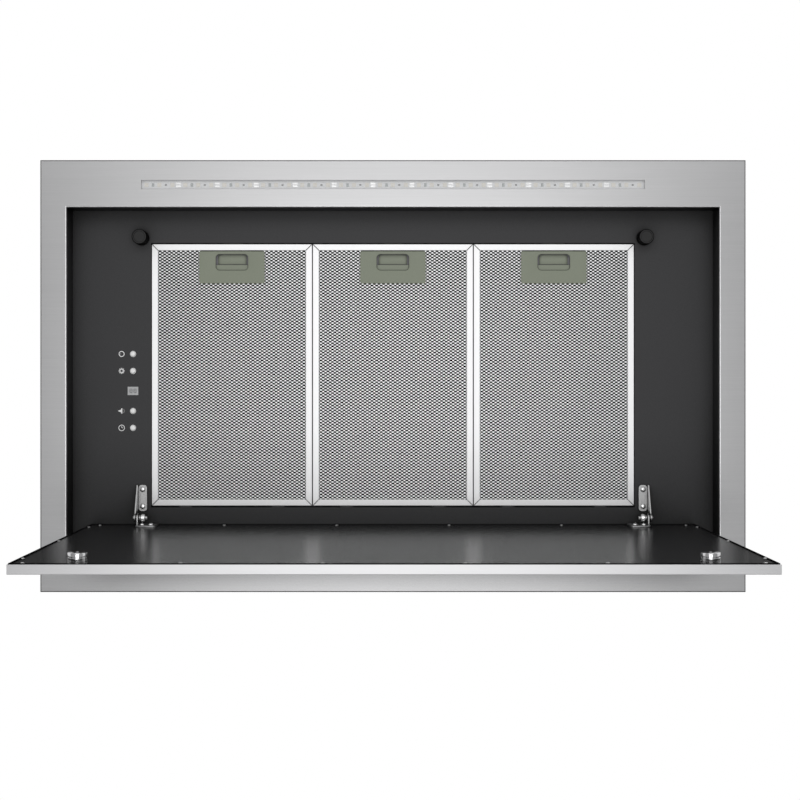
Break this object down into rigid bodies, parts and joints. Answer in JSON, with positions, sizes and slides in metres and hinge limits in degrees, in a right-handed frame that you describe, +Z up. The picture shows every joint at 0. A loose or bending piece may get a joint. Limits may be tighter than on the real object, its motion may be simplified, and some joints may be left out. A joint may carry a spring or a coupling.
{
  "type": "ceiling range hood",
  "caption": "Ceiling range hood: steel frame with a light strip, hinged perimeter-suction panel hanging open, mesh grease filters, push-buttons, blower and duct collar with back-draft flaps.",
  "frame": {"origin": "middle of the ceiling plane, level with the top of the frame's outer lip", "axes": "+X along the frame's length, +Y towards the panel hinges, +Z up into the ceiling"},
  "size_m": [0.898, 0.55, 0.7335],
  "materials": {
    "steel": "brushed",
    "black_paint": "satin",
    "zinc": "satin",
    "aluminium": "satin",
    "bright": "polished",
    "grey_plastic": "matte",
    "black_plastic": "matte",
    "white_plastic": "gloss",
    "display_plastic": "gloss",
    "clear_plastic": "gloss",
    "board": "matte",
    "green_board": "matte",
    "lens": "gloss",
    "cable_sheath": "matte"
  },
  "bodies": {
    "hood": {"face_frame": "steel", "recess_tray": "black_paint", "housing_top": "zinc", "housing_walls": "zinc", "housing_base": "zinc", "hanger_brackets": "zinc", "led_channel": "aluminium", "led_board": "board", "led_cover": "clear_plastic", "led_emitters": "lens", "panel_catches": "black_plastic", "hinge_bases": "bright", "hinge_bolts": "bright", "hinge_nuts": "bright", "hinge_tray_screws": "bright", "control_carrier": "black_plastic", "control_board": "green_board", "display": "display_plastic", "duct_collar": "black_plastic", "damper_rod": "bright", "scroll_wrap": "zinc", "scroll_sides": "zinc", "outlet_transition": "zinc", "motor": "zinc", "capacitor": "white_plastic", "control_box": "black_plastic", "control_box_lid": "black_plastic", "power_board": "green_board", "cable_gland": "black_plastic", "led_driver": "white_plastic", "wiring_loom": "cable_sheath"},
    "panel": {"panel_skin": "steel", "panel_plate": "black_paint", "panel_screws": "bright", "panel_studs": "bright", "hinge_arms": "bright", "hinge_panel_screws": "bright"},
    "impeller": {"impeller": "black_plastic", "impeller_blades": "black_plastic", "motor_shaft": "bright"},
    "flap_rear": {"damper_flap_rear": "black_plastic"},
    "flap_front": {"damper_flap_front": "black_plastic"},
    "filter_1": {"filter_1_frame": "aluminium", "filter_1_mesh": "aluminium", "filter_1_handle": "grey_plastic"},
    "latch_1": {"filter_1_latch": "grey_plastic"},
    "filter_2": {"filter_2_frame": "aluminium", "filter_2_mesh": "aluminium", "filter_2_handle": "grey_plastic"},
    "latch_2": {"filter_2_latch": "grey_plastic"},
    "filter_3": {"filter_3_frame": "aluminium", "filter_3_mesh": "aluminium", "filter_3_handle": "grey_plastic"},
    "latch_3": {"filter_3_latch": "grey_plastic"},
    "button_1": {"button_1": "white_plastic"},
    "button_2": {"button_2": "white_plastic"},
    "button_3": {"button_3": "white_plastic"},
    "button_4": {"button_4": "white_plastic"}
  },
  "joints": [
    {"name": "panel_hinge", "type": "hinge", "parent": "hood", "child": "panel", "pos_m": [0, 0.182, 0.007], "axis": [1, 0, 0], "range_deg": [-90, 0]},
    {"name": "filter_1_tilt", "type": "hinge", "parent": "hood", "child": "filter_1", "pos_m": [-0.209, 0.17, 0.0281], "axis": [1, 0, 0], "range_deg": [0, 60]},
    {"name": "latch_1_slide", "type": "slide", "parent": "filter_1", "child": "latch_1", "axis": [0, 1, 0], "range_m": [0, 0.006], "stiffness_N_per_m": 400, "springref_m": -0.002},
    {"name": "filter_2_tilt", "type": "hinge", "parent": "hood", "child": "filter_2", "pos_m": [0, 0.17, 0.0281], "axis": [1, 0, 0], "range_deg": [0, 60]},
    {"name": "latch_2_slide", "type": "slide", "parent": "filter_2", "child": "latch_2", "axis": [0, 1, 0], "range_m": [0, 0.006], "stiffness_N_per_m": 400, "springref_m": -0.002},
    {"name": "filter_3_tilt", "type": "hinge", "parent": "hood", "child": "filter_3", "pos_m": [0.209, 0.17, 0.0281], "axis": [1, 0, 0], "range_deg": [0, 60]},
    {"name": "latch_3_slide", "type": "slide", "parent": "filter_3", "child": "latch_3", "axis": [0, 1, 0], "range_m": [0, 0.006], "stiffness_N_per_m": 400, "springref_m": -0.002},
    {"name": "button_1_press", "type": "slide", "parent": "hood", "child": "button_1", "axis": [0, 0, 1], "range_m": [0, 0.001], "stiffness_N_per_m": 1200, "springref_m": -0.0004},
    {"name": "button_2_press", "type": "slide", "parent": "hood", "child": "button_2", "axis": [0, 0, 1], "range_m": [0, 0.001], "stiffness_N_per_m": 1200, "springref_m": -0.0004},
    {"name": "button_3_press", "type": "slide", "parent": "hood", "child": "button_3", "axis": [0, 0, 1], "range_m": [0, 0.001], "stiffness_N_per_m": 1200, "springref_m": -0.0004},
    {"name": "button_4_press", "type": "slide", "parent": "hood", "child": "button_4", "axis": [0, 0, 1], "range_m": [0, 0.001], "stiffness_N_per_m": 1200, "springref_m": -0.0004},
    {"name": "impeller_spin", "type": "hinge", "parent": "hood", "child": "impeller", "pos_m": [0, -0.0395, 0.162], "axis": [1, 0, 0], "continuous": true},
    {"name": "flap_rear_swing", "type": "hinge", "parent": "hood", "child": "flap_rear", "pos_m": [0, 0.03, 0.318], "axis": [1, 0, 0], "range_deg": [0, 75]},
    {"name": "flap_front_swing", "type": "hinge", "parent": "hood", "child": "flap_front", "pos_m": [0, 0.03, 0.318], "axis": [-1, 0, 0], "range_deg": [0, 75]}
  ]
}
